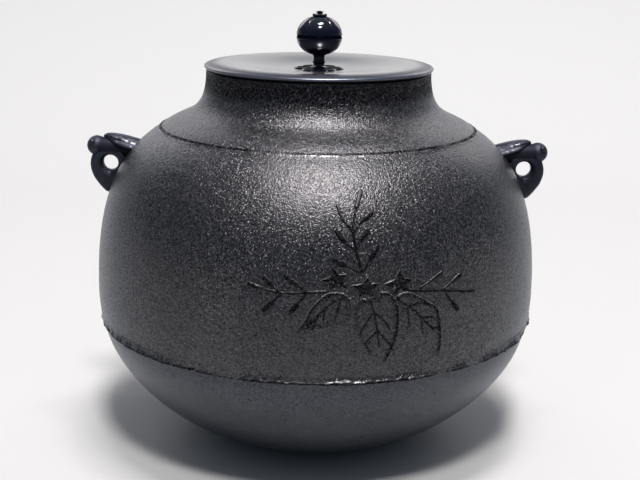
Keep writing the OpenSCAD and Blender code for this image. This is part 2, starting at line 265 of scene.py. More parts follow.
class Nodes:
    """The nodes of a material or of the world, and the shader that they feed."""

    def __init__(self, owner, shader):
        owner.use_nodes = True
        self.tree = owner.node_tree
        self.shader = self.tree.nodes[shader]

    def node(self, kind, settings, inputs, out=0):
        """A node of that type: its settings first, then values or links for its sockets."""
        node = self.tree.nodes.new(kind)
        for name, value in settings.items():
            setattr(node, name, value)
        for key, value in inputs.items():
            if isinstance(value, Value):
                self.tree.links.new(value.socket, node.inputs[key])
            else:
                node.inputs[key].default_value = value
        return Value(self, node.outputs[out])

    def mix(self, share, a, b):
        """Colour a where share is 0, colour b where it is 1; the numbers are the node's colour sockets."""
        return self.node("ShaderNodeMix", {"data_type": "RGBA"}, {0: share, 6: a, 7: b}, 2)

    def set(self, **links):
        """Links values to the shader's sockets of those names."""
        for socket, value in links.items():
            self.tree.links.new(value.socket, self.shader.inputs[socket.replace("_", " ")])


class Finish(Nodes):
    """One material on Object coordinates; the constants go straight to its shader's sockets."""

    def __init__(self, name, **constants):
        self.material = bpy.data.materials.new(name)
        super().__init__(self.material, "Principled BSDF")
        for socket, value in constants.items():
            self.shader.inputs[socket.replace("_", " ")].default_value = value
        self.place = self.node("ShaderNodeTexCoord", {}, {}, "Object")

    def noise(self, size, detail=2.0, rough=0.5):
        """Noise whose lumps are about that many millimetres across."""
        inputs = {"Vector": self.place, "Scale": 1 / MM / size, "Detail": detail, "Roughness": rough}
        return self.node("ShaderNodeTexNoise", {}, inputs)

    def cells(self, size, out="Distance"):
        """Grains about that many millimetres across: the distance from each one's middle, or its own
        shade of chance."""
        return self.node("ShaderNodeTexVoronoi", {}, {"Vector": self.place, "Scale": 1 / MM / size}, out)

    def bump(self, height, depth):
        """Normal of a surface raised by height, 0 to 1, times a depth in millimetres."""
        return self.node("ShaderNodeBump", {}, {"Height": height, "Distance": depth * MM, "Strength": 1.0})

    def wear(self):
        """Shares of painted shade and of painted highlight, from the mesh."""
        wear = self.node("ShaderNodeAttribute", {"attribute_name": "wear"}, {}, "Fac")
        return (wear * -1).between(0, 1), wear.between(0, 1)

    def cover(self, share, colour):
        """Lays a dull coat of that colour over the finish, where share is 1."""
        dull = self.node("ShaderNodeBsdfDiffuse", {}, {"Color": colour})
        base = Value(self, self.shader.outputs[0])
        coated = self.node("ShaderNodeMixShader", {}, {0: share, 1: base, 2: dull})
        self.tree.links.new(coated.socket, self.tree.nodes["Material Output"].inputs[0])

    def set(self, **links):
        """Links values to the shader's sockets of those names, which completes the material."""
        super().set(**links)
        return self.material


def rgb(r, g, b):
    """An opaque colour."""
    return (r, g, b, 1.0)


CAST_IRON = {"Metallic": 0.9, "Specular_Tint": rgb(0.92, 0.96, 1.0), "Coat_Roughness": 0.3}
# Dull black for painted shade, and for pits in the iron
SHADE_AND_PIT_BLACK = rgb(0.002, 0.002, 0.003)


def iron_skin():
    """Sand-cast iron under thin lacquer: grains of the mould's sand, each with its own gloss, over softer
    lumps, patches where the lacquer is worn thin, pits, painted shade in recesses and painted highlights on
    edges."""
    f = Finish("iron_skin", Coat_Weight=0.06, **CAST_IRON)
    painted_shade, painted_highlight = f.wear()
    grains = f.cells(0.65)
    gloss = f.cells(0.65, "Color")
    lumps = f.noise(1.3, 1.0, 0.6)
    patches = f.noise(38, 3.0)
    pits = f.noise(1.1, 1.0).between(0.38, 0.30)
    glint = f.mix(f.noise(1.3).between(0.4, 0.6), rgb(0.142, 0.131, 0.128), rgb(0.126, 0.131, 0.148))
    shine = gloss ** 2
    tone = f.mix(shine, rgb(0.027, 0.0275, 0.031), glint)
    tone = f.mix(patches.between(0.35, 0.65) * 0.25, tone, rgb(0.080, 0.074, 0.074))
    # Painted highlight: a light grey on the edges that the mesh marks
    tone = f.mix(painted_highlight, tone, rgb(0.40, 0.38, 0.38))
    # Painted shade: dull black where the mesh marks recesses and faces turned from the lamps, and over the
    # pits
    f.cover(painted_shade * (1.0 - shine * 0.6) + pits * 0.7, SHADE_AND_PIT_BLACK)
    return f.set(
        Base_Color=tone,
        Roughness=0.235 + patches * 0.08 + gloss * 0.06,
        Normal=f.bump(lumps * 1.3 - grains * (0.45 + gloss.between(0.5, 1.0)), 0.225),
    )


def iron_spray():
    """The raised spray: the same iron, worn smoother than the ground it stands on, with painted
    shade and painted highlights where the mesh marks them.
    """
    f = Finish("iron_spray", Metallic=0.9, Specular_Tint=rgb(0.90, 0.95, 1.0))
    painted_shade, painted_highlight = f.wear()
    shine = f.cells(0.7, "Color") ** 2
    lumps = f.noise(1.6, 2.0)
    tone = f.mix(shine, rgb(0.022, 0.021, 0.023), rgb(0.105, 0.102, 0.108))
    # Painted shade: dull black on the strokes' lower flanks and on the backs of low buds
    f.cover(painted_shade * (1.0 - shine * 0.6), SHADE_AND_PIT_BLACK)
    return f.set(
        # Painted highlight: a lighter grey on the strokes' upper edges
        Base_Color=f.mix(painted_highlight, tone, rgb(0.12, 0.115, 0.115)),
        Roughness=0.36 + lumps * 0.16,
        Normal=f.bump(lumps, 0.16),
    )


def iron_bottom():
    """The lower casting: the same iron with a finer, flatter grain and a bluer, smokier skin."""
    f = Finish("iron_bottom", Coat_Weight=0.25, **CAST_IRON)
    grains = f.cells(0.7)
    gloss = f.cells(0.7, "Color")
    lumps = f.noise(5.0, 3.0)
    patches = f.noise(30, 3.0)
    pits = f.noise(1.8, 1.0).between(0.30, 0.25)
    tone = f.mix(gloss, rgb(0.008, 0.010, 0.014), rgb(0.084, 0.092, 0.110))
    tone = f.mix(patches.between(0.3, 0.7) * 0.3, tone, rgb(0.08, 0.086, 0.097))
    f.cover(pits * 0.7, rgb(0.003, 0.003, 0.004))
    return f.set(
        Base_Color=tone,
        Roughness=0.28 + patches * 0.12 + gloss * 0.08,
        Normal=f.bump(lumps * 0.7 - grains * 0.8, 0.32),
    )


def iron_lug():
    """The lugs: fine-grained iron worn smooth, blue-black with a soft gloss, with painted highlights as pale
    dashes on the wings and painted shade dulling the trunk under them."""
    f = Finish("iron_lug", Metallic=0.9, Specular_Tint=rgb(0.8, 0.88, 1.0))
    painted_shade, painted_highlight = f.wear()
    grain = f.noise(0.9, 2.0)
    patches = f.noise(9.0, 2.0)
    tone = f.mix(patches.between(0.3, 0.7), rgb(0.024, 0.025, 0.034), rgb(0.036, 0.038, 0.050))
    # Painted shade: dark blue-black on the trunk, hiding its gloss
    f.cover(painted_shade, rgb(0.013, 0.013, 0.020))
    return f.set(
        # Painted highlight: pale grey dashes on the wings
        Base_Color=f.mix(painted_highlight, tone, rgb(0.55, 0.54, 0.55)),
        Roughness=0.42 + patches * 0.16,
        Normal=f.bump(grain + patches * 0.5, 0.22),
    )


def bronze_lid():
    """Patinated bronze polished to a grey gloss, with faint clouds and specks, and a rim painted darker and
    duller as painted shade.
    """
    f = Finish("bronze_lid", Metallic=1.0)
    clouds = f.noise(26, 3.0)
    specks = f.noise(1.6, 2.0)
    # Share of the rim that the mesh marks for painted shade
    _, rim = f.wear()
    tone = f.mix(clouds.between(0.3, 0.7), rgb(0.44, 0.44, 0.45), rgb(0.54, 0.54, 0.545))
    # Painted shade: a darker, bluer tone on the rim
    tone = f.mix(rim, tone, rgb(0.112, 0.118, 0.145))
    return f.set(
        Base_Color=tone,
        Roughness=0.16 + clouds * 0.08 + specks.between(0.6, 0.8) * 0.06 + rim * 0.14,
        Normal=f.bump(clouds * 0.7 + specks * 0.1, 0.10),
    )


def bronze_knob():
    """Knob and seat: bronze stained blue-black and polished, with painted shade laid as dull black where the
    mesh marks it.
    """
    f = Finish("bronze_knob", Specular_IOR_Level=0.38, Specular_Tint=rgb(0.9, 0.95, 1.0))
    painted_shade, _ = f.wear()
    clouds = f.noise(8, 2.0)
    specks = f.noise(0.9, 2.0)
    tone = f.mix(clouds.between(0.3, 0.7), rgb(0.001, 0.0015, 0.005), rgb(0.002, 0.003, 0.009))
    # Painted shade: dull black in the seat's petals, along the ball's seam and on its lower half
    f.cover(painted_shade, rgb(0.002, 0.002, 0.005))
    return f.set(
        Base_Color=tone,
        Roughness=0.07 + clouds * 0.06,
        Normal=f.bump(specks * 0.3 + clouds * 0.4, 0.04),
    )


def lute_paste():
    """Lacquer mixed with iron filings: dull and granular."""
    f = Finish("lute")
    specks = f.noise(0.8, 3.0)
    tone = f.mix(specks.between(0.4, 0.7), rgb(0.012, 0.010, 0.009), rgb(0.035, 0.028, 0.023))
    return f.set(Base_Color=tone, Roughness=0.65 + specks * 0.2, Normal=f.bump(specks, 0.25))


def forged_plate():
    """Forged iron tablets set in lacquer on the inner bottom, browned by water."""
    f = Finish("iron_plate")
    scale = f.noise(3.0, 3.0)
    tone = f.mix(scale.between(0.35, 0.65), rgb(0.022, 0.017, 0.014), rgb(0.06, 0.040, 0.028))
    return f.set(Base_Color=tone, Roughness=0.5 + scale * 0.25, Normal=f.bump(scale, 0.3))


SKIN = iron_skin()
SPRAY = iron_spray()
BOTTOM = iron_bottom()
LUG = iron_lug()
LID = bronze_lid()
KNOB = bronze_knob()
LUTE = lute_paste()
PLATE = forged_plate()

for node, finish in (
    ("seam_lute", LUTE),
    ("sounding_plates", PLATE),
    ("knob_rivet", KNOB),
    ("rivet_washer", KNOB),
):
    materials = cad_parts[node].data.materials
    materials.clear()
    materials.append(finish)


# The spray on the belly

# Strokes of the spray, in millimetres: across the belly from the front line, and up from the ground
STEMS = [
    [(22.5, 124.5), (20.3, 133.0), (18.8, 141.5), (19.2, 147.5), (21.3, 153.5)],
    [(5.5, 116.0), (-3.5, 115.3), (-16.0, 114.7), (-24.0, 116.0)],
    [(46.0, 114.8), (66.0, 112.2), (80.0, 109.7)],
]
# Sprigs: half width of the bud, then the twig's foot, the bud's base and its tip
SPRIGS = [
    (1.3, (20.3, 151.0), (21.3, 153.5), (25.0, 161.0)),
    (1.35, (19.0, 142.3), (23.3, 147.4), (30.0, 151.6)),
    (0.8, (18.7, 142.8), (13.2, 148.6), (10.8, 155.0)),
    (1.5, (20.2, 134.0), (22.0, 139.0), (27.2, 144.2)),
    (1.2, (20.0, 134.2), (14.6, 138.0), (9.8, 143.8)),
    (1.5, (23.0, 124.5), (26.6, 130.4), (31.3, 136.4)),
    (1.2, (22.0, 124.5), (15.0, 127.7), (8.2, 130.9)),
    (1.3, (-3.7, 115.3), (-8.0, 118.2), (-15.2, 123.1)),
    (1.3, (-17.1, 115.1), (-20.0, 117.5), (-25.6, 122.1)),
    (1.2, (-4.2, 114.4), (-8.2, 109.8), (-12.1, 104.8)),
    (1.2, (-16.4, 113.9), (-20.5, 110.0), (-25.4, 105.0)),
    (1.1, (-23.0, 115.8), (-25.5, 116.2), (-33.0, 118.1)),
    (1.0, (52.1, 115.0), (58.0, 117.8), (65.8, 121.5)),
    (1.0, (65.6, 112.8), (71.0, 115.7), (77.7, 119.3)),
    (1.3, (67.1, 110.6), (71.0, 105.8), (75.1, 100.8)),
    (0.9, (78.0, 110.0), (80.0, 109.7), (86.3, 109.1)),
]
LEAVES = [
    [(13.5, 115.0), (9.3, 115.3), (5.5, 114.7), (1.8, 111.8), (-2.0, 107.5), (-4.3, 102.6), (-6.6, 98.7),
     (-10.4, 93.6), (-4.7, 95.8), (1.9, 98.3), (10.4, 98.8), (15.6, 101.1), (17.5, 104.9), (17.5, 110.7)],
    [(26.7, 112.6), (33.2, 115.0), (37.7, 112.3), (40.0, 108.3), (40.7, 102.4), (40.2, 95.5), (38.4, 89.2),
     (36.0, 83.8), (32.7, 78.2), (29.0, 82.4), (25.0, 85.8), (21.0, 93.0), (19.0, 99.0), (18.2, 104.9),
     (19.4, 110.6)],
    [(39.3, 112.0), (41.9, 113.4), (46.1, 113.5), (50.9, 111.5), (56.4, 107.9), (61.0, 104.8), (62.7, 100.6),
     (63.6, 94.4), (63.9, 88.2), (63.4, 82.1), (63.0, 77.6), (57.4, 85.2), (50.5, 90.3), (44.0, 94.6),
     (41.3, 100.3), (40.3, 107.8)],
]
VEINS = [
    [
        [(16.0, 114.0), (9.8, 111.3), (4.2, 107.5), (0.4, 103.2), (-3.3, 98.3)],
        [(4.6, 107.5), (4.0, 102.2)], [(11.7, 110.8), (9.4, 102.2)], [(0.9, 103.2), (-0.9, 97.8)],
        [(-1.5, 102.7), (-4.7, 97.8)], [(9.8, 111.4), (5.5, 111.6)],
    ],
    [
        [(26.7, 110.7), (28.2, 105.3), (29.7, 98.4), (31.1, 88.8)],
        [(28.4, 105.3), (32.6, 102.1), (36.2, 96.9)], [(27.9, 105.1), (23.8, 99.7), (21.4, 94.5)],
        [(29.7, 96.2), (25.8, 92.2), (24.4, 90.3)], [(30.2, 96.4), (36.4, 89.4)],
    ],
    [
        [(40.3, 110.7), (45.5, 107.2), (48.7, 104.9), (52.5, 101.0), (59.3, 94.3)],
        [(45.5, 107.2), (51.4, 107.8), (57.0, 107.3)], [(45.2, 106.3), (46.3, 98.3)],
        [(52.5, 100.8), (58.7, 100.4)], [(52.5, 100.5), (53.7, 93.3)], [(58.8, 94.4), (62.8, 94.8)],
    ],
]
# The way that each leaf's crest looks, and the depth of the soft painted shade along its other edges
LEAF_LIGHT = [(-0.6, 0.8), (0.95, 0.3), (0.5, 0.86)]
LEAF_SHADE = [0.5, 0.5, 0.15]
# Flowers: the middle, then the tips of the five petals in turn
FLOWERS = [
    [(10.5, 120.7), (8.4, 127.0), (14.9, 123.9), (15.3, 117.3), (6.9, 116.5), (2.4, 121.0)],
    [(24.3, 116.8), (17.3, 118.5), (25.4, 122.6), (31.0, 119.0), (28.2, 113.0), (20.6, 112.9)],
    [(41.0, 117.8), (33.3, 118.5), (41.6, 125.0), (48.4, 119.7), (46.1, 114.4), (38.3, 112.8)],
]


# The body

def sloped(point, distance, slope):
    """The point moved outwards by a distance, down a slope in degrees."""
    a = math.radians(slope)
    return point[0] + distance * math.cos(a), point[1] - distance * math.sin(a)


def shell_outline():
    """Outside of the shell from the skirt up to the mouth: three cubic curves."""
    rise = (BELLY[1] - SKIRT[1]) / 3
    skirt = curve(SKIRT, (SKIRT[0] + SKIRT_FLARE, SKIRT[1] + rise), (BELLY[0], BELLY[1] - rise), BELLY)
    belly = curve(
        BELLY,
        (BELLY[0], BELLY[1] + BELLY_HANDLE),
        sloped(SHOULDER, SHOULDER_HANDLE, SHOULDER_SLOPE),
        SHOULDER,
    )
    neck = curve(
        SHOULDER,
        sloped(SHOULDER, -NECK_HANDLE, NECK_SLOPE),
        (MOUTH[0], MOUTH[1] - MOUTH_HANDLE),
        MOUTH,
    )
    return np.concatenate([skirt, belly[1:], neck[1:]])


OUTLINE = shell_outline()


def shell_r(z):
    """Radius of the shell's outside at a height."""
    return np.interp(z, OUTLINE[:, 1], OUTLINE[:, 0])


def shell_rows():
    """Outline points close together where the shoulder's line is, wide apart elsewhere."""
    run = along(OUTLINE)
    place = [0.0]
    while place[-1] < run[-1]:
        z = np.interp(place[-1], run, OUTLINE[:, 1])
        place.append(place[-1] + (0.17 if abs(z - SHOULDER[1]) < 1.3 else 1.8))
    return at_distance(OUTLINE, np.minimum(place, run[-1]))


def casting_waves(angles, height):
    """Slow waves of the casting, in millimetres square to the shell."""
    return 0.14 * np.sin(3 * angles + 1.1) * np.sin(height / 31) + 0.08 * np.sin(7 * angles + height / 19)


def kettle_shell():
    """The shell as one closed loop of outlines carried round the axis: outside, mouth, inside, lap. The
    outside is moved along its own normal by the shoulder's line and slow casting waves, which die out below
    the mouth. The line carries painted glints here and there, with painted shade just above it, and
    painted shade darkens the neck under the lid."""
    outside = shell_rows()
    normal = -sideways(outside)
    angles = ring_angles(300)
    height = outside[:, 1:] + 0 * angles
    below = np.interp(SHOULDER[1], OUTLINE[:, 1], along(OUTLINE)) - along(outside)[:, None]
    line = np.interp(below, [-0.4, 0, 1.5], [0, 1, 0]) * LINE_H
    lift = casting_waves(angles, height) + line * waver(angles, 1, (0.3, 150))
    # Painted glints below the shoulder's line, painted shade above it, and painted shade on the neck under
    # the lid
    glint = np.clip(waver(angles, 0.1, (1.4, 300)), 0, 1)
    shade = np.clip(waver(angles, 0.8, (0.5, 220)), 0.3, 1)
    painted_glint = glint * np.interp(below, [0, 0.25, 0.8, 1.2], [0, 0.5, 0.36, 0])
    dull = shade * np.interp(below, [-2.0, -1.6, -0.1, 0.05], [0, -1, -1, 0])
    wear = dull + painted_glint - 0.75 * eased((height - NECK_PAINTED_SHADE[0]) / NECK_PAINTED_SHADE[1])
    push = lift * np.clip((MOUTH[1] - height) / MOUTH_FADE, 0, 1)
    grid = turned(outside, angles) + push[..., None] * turned(normal, angles)
    grid[-1, :, 2] -= MOUTH_BREAK[0]
    inside = evenly(OUTLINE, 6.0) + WALL * sideways(evenly(OUTLINE, 6.0))
    inside = inside[(inside[:, 1] > LAP_TOP + 2) & (inside[:, 1] < MOUTH[1] - 3)][::-1]
    mouth_in = MOUTH[0] - WALL
    mouth = [
        (MOUTH[0] - MOUTH_BREAK[0], MOUTH[1]),
        (mouth_in + MOUTH_BREAK[1], MOUTH[1]),
        (mouth_in, MOUTH[1] - MOUTH_BREAK[1]),
    ]
    lap = [(LAP_R, LAP_TOP), (LAP_R, SKIRT[1])]
    rest = turned(np.concatenate([mouth, inside, lap]), angles)
    wear = np.concatenate([wear, np.zeros(rest.shape[:2])])
    return Skin().add(np.concatenate([grid, rest]), loop=True, wear=wear)


def on_belly(across, height):
    """Points of the belly's face, and its unit normals, for places given across and up."""
    angles = across / BELLY[0]
    outward = -sideways(OUTLINE)
    nr, nz = (np.interp(height, OUTLINE[:, 1], outward[:, k]) for k in (0, 1))
    push = casting_waves(angles, height)
    return round_axis(shell_r(height) + push * nr, angles, height + push * nz), round_axis(nr, angles, nz)


STROKE_SUNK = 0.6
# Places across a stroke, from its lower edge to its upper one, and a line's painted light there: painted
# shade on its lower side, a painted highlight near its upper edge
STROKE_STOPS = [-1, -0.8, -0.45, 0, 0.75, 0.95, 1]
LINE_PAINTED_LIGHT = [-1, -1, -1, -0.9, -0.7, 0.2, 0.2]


def raised_stroke(skin, points, half_width, height, bud=False):
    """A raised stroke of the spray, carried along a curve on the belly and sunk a little into it. A line is
    a narrow ridge that thins towards its end. A bud has a broad smooth back and steep sides, is blunt
    where the twig meets it, full in its first half and round at its tip. Painted shade lies on the lower
    side of each stroke and on the backs of low buds, and a painted highlight near its upper edge."""
    path = through(points, 0.35)
    t = np.linspace(0, 1, len(path))
    if bud:
        # Painted light across a bud: painted shade on its lower side and, for low buds, on its back; a
        # painted highlight on its upper edge
        back = np.interp(points[-1][1], [150, 156], [-0.8, 0])
        worn = [-1, -1, back - 0.2, back, back, 0.5, 0.4]
        swell, blunt, flank = np.minimum(0.7 + 0.7 * t, 1.15 - 0.3 * t), 6, 3.5
    else:
        worn = LINE_PAINTED_LIGHT
        swell, blunt, flank = np.minimum(1 - 0.3 * t, 6 * (t + 0.1)), 30, 1.8
    swell = np.minimum(swell, np.sqrt(np.clip((1.004 - t) * blunt, 0, 1)))[:, None]
    base, normal = on_belly(path[:, 0], path[:, 1])
    run = np.gradient(base, axis=0)
    run /= np.linalg.norm(run, axis=1, keepdims=True)
    upper = np.cross(normal, run)
    upper *= np.sign(upper[:, 2].sum())
    x = np.concatenate([[1.0], np.sin(np.linspace(math.pi / 2, -math.pi / 2, 17)), [-1.0]])
    tall = height * (1 - np.abs(x) ** flank) ** 0.7 * swell
    tall[:, [0, -1]] = -STROKE_SUNK
    rough = 1 + 0.16 * np.interp(along(path), np.arange(0, 60, 0.9), rng.uniform(-1, 1, 67))[:, None]
    wide = half_width * x * swell * rough
    grid = base[:, None] + wide[..., None] * upper[:, None] + tall[..., None] * normal[:, None]
    skin.add(grid, wear=np.interp(x, STROKE_STOPS, worn))


def pressed_shape(skin, edge, lines, light, level, crest, slope, hollow, soft, fade, painted_glint):
    """A leaf or a petal. Rows run from its middle to its edge. Where the edge looks towards the light it
    stands up as a crest with a steep wall outside and a hollow fall inside, darkened by painted shade;
    elsewhere it eases out into the belly over the slope's width, with a soft painted shade. Both die out
    within fade of its lowest point. Every line is a groove, darkened by painted shade. Hollow is the
    painted shade of its inside, soft the depth of the soft painted shade, and the last, the strength of the
    painted highlight on the crest."""
    middle = edge.mean(0)
    edge = middle + (edge - middle) * (1 + 0.02 * rng.uniform(-1, 1, (len(edge), 1)))
    run = np.roll(edge, -3, 0) - np.roll(edge, 3, 0)
    out = np.stack([run[:, 1], -run[:, 0]], 1) / np.linalg.norm(run, axis=1, keepdims=True)
    out *= np.sign(np.einsum("ij,ij->i", out, edge - middle).sum())
    strong = eased(np.linalg.norm(edge - edge[edge[:, 1].argmin()], axis=1) / fade)
    sharp = eased((out @ light + 0.1) / 0.4) * (0.25 + 0.75 * strong)
    share = 1 - np.linspace(0.985, 0, 40) ** 1.5
    flat = middle + (edge - middle) * share[:, None, None]
    gap = np.hypot(*(flat[..., None, k] - edge[:, k] for k in (0, 1)))
    inward, nearest = gap.min(-1), gap.argmin(-1)
    keen, dim = sharp[nearest], soft * strong[nearest]
    lift = level * (keen + (1 - keen) * eased(inward / slope)) + crest * keen * np.exp(-inward / 1.4)
    # Painted shade: dark just inside each crest, and soft along the other edges
    shade = -1.5 * keen * np.exp(-inward / 1.5) - dim * (1 - keen) * np.exp(-((inward - 1.5) / 1.6) ** 2)
    wear = np.minimum(hollow, shade)
    for points in lines:
        path = through(points, 0.4)
        off = np.hypot(*(flat[..., None, k] - path[:, k] for k in (0, 1))).min(-1)
        near = np.exp(-(off / 0.5) ** 2)
        lift = np.maximum(lift - 0.34 * near, 0.04)
        # Painted shade darkens each groove
        wear = wear - near * (1 + wear)
    # Painted highlight on the crest's outer row, and on its foot below
    wear[-1] = painted_glint * sharp
    base, normal = on_belly(flat[..., 0], flat[..., 1])
    foot, foot_normal = on_belly(*(edge + 0.55 * out).T)
    wear = np.concatenate([wear, 0.8 * painted_glint * sharp[None]])
    skin.add(np.concatenate([base + lift[..., None] * normal, (foot - 0.5 * foot_normal)[None]]), wear=wear)


NOTCH_OUT = 0.62


def star(middle, tips):
    """Outline of a flower: straight edges from each petal's tip in to a notch, which lies on the way from
    the middle to half way between two tips, and out to the next tip."""
    notches = middle + NOTCH_OUT * ((tips + np.roll(tips, -1, 0)) / 2 - middle)
    corners = np.stack([tips, notches], 1).reshape(-1, 2)
    return evenly(np.concatenate([corners, corners[:1]]), 0.3)[:-1]


# Shapes of leaves and petals, with the painted shade of their insides (hollow), the soft painted shade, and
# the painted highlight on their crests
LEAF = {"level": 0.4, "crest": 0.5, "slope": 4.0, "hollow": -0.2, "fade": 9.0, "painted_glint": 0.8}
PETAL = {"level": 0.15, "crest": 0.8, "slope": 1.0, "hollow": -0.7, "soft": 0, "fade": 0.1, "painted_glint": 0.5}
PETAL_LIGHT = (-0.5, 0.87)


def belly_leaves():
    """The three leaves, with ribs and veins cut into them and a crest on its own side of each, and the
    flowers of five creased petals."""
    skin = Skin()
    for outline, lines, light, soft in zip(LEAVES, VEINS, LEAF_LIGHT, LEAF_SHADE):
        edge = through(outline + outline[:1], 0.4)[:-1]
        pressed_shape(skin, edge, lines, light, soft=soft, **LEAF)
    for middle, *tips in FLOWERS:
        middle, tips = np.array(middle), np.array(tips)
        creases = [(middle + 0.2 * (tip - middle), middle + 0.8 * (tip - middle)) for tip in tips]
        pressed_shape(skin, star(middle, tips), creases, PETAL_LIGHT, **PETAL)
    return skin


def belly_spray():
    """Stems, twigs and buds."""
    skin = Skin()
    for points in STEMS:
        raised_stroke(skin, points, 0.75, 0.6)
    for half_width, foot, base, tip in SPRIGS:
        raised_stroke(skin, [foot, base], 0.65, 0.55)
        raised_stroke(skin, [base, tip], half_width, 0.8, bud=True)
    return skin


# Stretch of the brim that carries the most painted highlight: the angle of its middle and half its width, in
# radians
BRIM_GLINT_AT = 0.11
BRIM_GLINT_HALF = 0.32


def broken_brim():
    """What is left of the brim along the seam: the shell's face runs out into a lip whose reach and
    thickness change with the angle, with gaps where it broke off short. Its corner carries painted
    highlights here and there, and the broken face below it is rough and painted dark with painted shade
    down to the bottom casting."""
    angles = ring_angles(1200)
    ragged = waver(angles, 0.55, (0.35, 46), (0.25, 150), (0.15, 420))
    gaps = np.clip((ring_noise(angles, 34) - 0.3) * 3, 0, 1)
    out = LIP_OUT * np.clip(ragged, 0.1, 1.0) * (1 - 0.75 * gaps)
    thick = waver(angles, 1.25, (0.5, 60), (0.4, 230), (0.2, 480))
    thick = np.clip(thick * (1 - 0.7 * gaps), 0.15, 2.0)
    # Painted highlight: strongest round the front, broken up round the ring
    off = (angles - BRIM_GLINT_AT + math.pi) % (2 * math.pi) - math.pi
    ahead = np.exp(-(off / BRIM_GLINT_HALF) ** 4)
    painted_highlight = np.clip(waver(angles, ahead - 0.2, (0.6, 90), (0.6, 400)), 0, 1)
    # Start, share of the reach, height, share of the thickness, painted shade, share of the painted
    # highlight
    section = [
        (-1.5, 0, 74.0, 0, 0, 0), (-0.03, 0, 73.4, 0, 0, 0), (0.05, 0.3, 71.0, 0.5, 0, 0),
        (0.05, 0.75, 69.45, 1, 0, 0.3), (0.0, 1.0, 69.2, 1, 0, 0.7), (0.0, 1.02, 69.1, 0.9, -0.7, 0.5),
        (-0.1, 0.98, 69.05, 0.45, -1, 0), (-0.25, 0.8, 69.0, 0.1, -1, 0), (-0.8, 0.1, 68.95, 0, -1, 0),
        (-1.6, 0, 69.3, 0, -1, 0),
    ]
    rows, wear = [], []
    for start, share, z, tall, dull, painted_glint in section:
        r = shell_r(max(z, SKIRT[1])) + start + share * waver(angles, out, (0.18, 400))
        rows.append(round_axis(r, angles, z + tall * thick))
        wear.append(dull + painted_glint * painted_highlight)
    return Skin().add(np.stack(rows), loop=True, wear=np.stack(wear))


def kettle_bottom():
    """The lower casting: one outline from the axis out to the seam, up the lapped rim and back inside,
    carried round the axis with slow waves."""
    lean = math.radians(SEAM_LEAN)
    outside = evenly(curve(
        FOOT,
        (FOOT[0] + FOOT_HANDLE, 0),
        (BOTTOM_RIM[0] - SEAM_HANDLE * math.sin(lean), BOTTOM_RIM[1] - SEAM_HANDLE * math.cos(lean)),
        BOTTOM_RIM,
    ), 2.0)
    inside = outside + WALL * sideways(outside)
    inside[:, 0] = np.minimum(inside[:, 0], RIM_R[1])
    rim = [(RIM_R[0], BOTTOM_RIM[1]), (RIM_R[0], RIM_TOP), (RIM_R[1], RIM_TOP)]
    angles = ring_angles(200)
    waves = turned(outside, angles)
    z = outside[:, 1:]
    ease = np.clip(z / 12, 0, 1) * np.clip((BOTTOM_RIM[1] - z) / 8, 0, 1)
    swell = 1 + ease * (0.0016 * np.sin(4 * angles + z / 17) + 0.0010 * np.sin(9 * angles - z / 11))
    waves[..., :2] *= swell[..., None]
    start = turned(np.array([(0.05, 0.0), (15.0, 0.0)]), angles)
    rest = turned(np.concatenate([rim, inside[::-1], [(15.0, WALL), (0.05, WALL)]]), angles)
    return Skin().add(np.concatenate([start, waves, rest]))


# The lugs

HOLE = (114.969, 152.2)
HOLE_R = 4.2
RING_HALF = 4.8
HEAD_R = 5.5
HEAD = (7.5, 9.2)
HEAD_WIDE = 1.06
EYE_R = 1.75
EYE = (1.9, 4.2, 2.6)
AROUND = ring_angles(36)
# Lines of a wing from the hole's middle: along its ridge and along its lower edge
WING_RIDGE = [(3.3, 0.8, 14.9), (0.2, 0.8, 15.6), (-8.0, 0.8, 14.4), (-18.2, 0.8, 12.4)]
WING_EDGE = [(3.4, 1.3, 14.5), (-3.0, 5.6, 11.2), (-9.0, 7.1, 9.4), (-14.2, 7.4, 8.0)]
# Rows of painted highlight dashes along a wing: place between ridge and edge, and how bright
WING_GLINTS = [(0.36, 0.35), (0.6, 0.7), (0.85, 0.45)]
DASHES = 22
# Outer radius of the lug's ring round its hole, by the angle above level: tail, root in the wall, trunk
RING_SHAPE = [
    (-180, 8.8), (-150, 8.2), (-125, 9.4), (-105, 11.6), (-93, 15.6), (-84, 17.6),
    (-70, 15.1), (-55, 13.4), (-30, 12.0), (-8, 11.4), (17, 11.0), (32, 11.2),
    (50, 10.4), (90, 9.2), (135, 9.6), (160, 9.4), (180, 8.8),
]


def lug_ring():
    """The tail: a rounded section carried round the hole, whose outer radius changes with the angle."""
    turn = ring_angles(120)[:, None]
    bend = np.degrees(np.mod(turn + math.pi, 2 * math.pi) - math.pi)
    outer = np.interp(bend, *np.array(RING_SHAPE).T)
    for _ in range(3):
        outer = (np.roll(outer, 1, 0) + 2 * outer + np.roll(outer, -1, 0)) / 4
    c, s = (np.sign(v) * np.abs(v) ** 0.7 for v in (np.cos(AROUND), np.sin(AROUND)))
    radius = (outer + HOLE_R) / 2 + (outer - HOLE_R) / 2 * c
    breadth = RING_HALF * np.clip(1.12 - 0.018 * outer, 0.8, 1)
    return radius * np.cos(turn), breadth * s, radius * np.sin(turn)


def lug_trunk():
    """The trunk: a tube from under the shell's face out to the head, with a waist just before it."""
    t = np.linspace(0, 1, 40)[:, None]
    girth = 4.5 + 0.65 * t - 0.25 * np.exp(-((t - 0.9) / 0.05) ** 2)
    z = HEAD[1] - 1 + t + girth * np.sin(AROUND)
    root = shell_r(z + HOLE[1]) - HOLE[0] - 1.6
    return root + (HEAD[0] - 1 - root) * t, girth * 1.05 * np.cos(AROUND), z


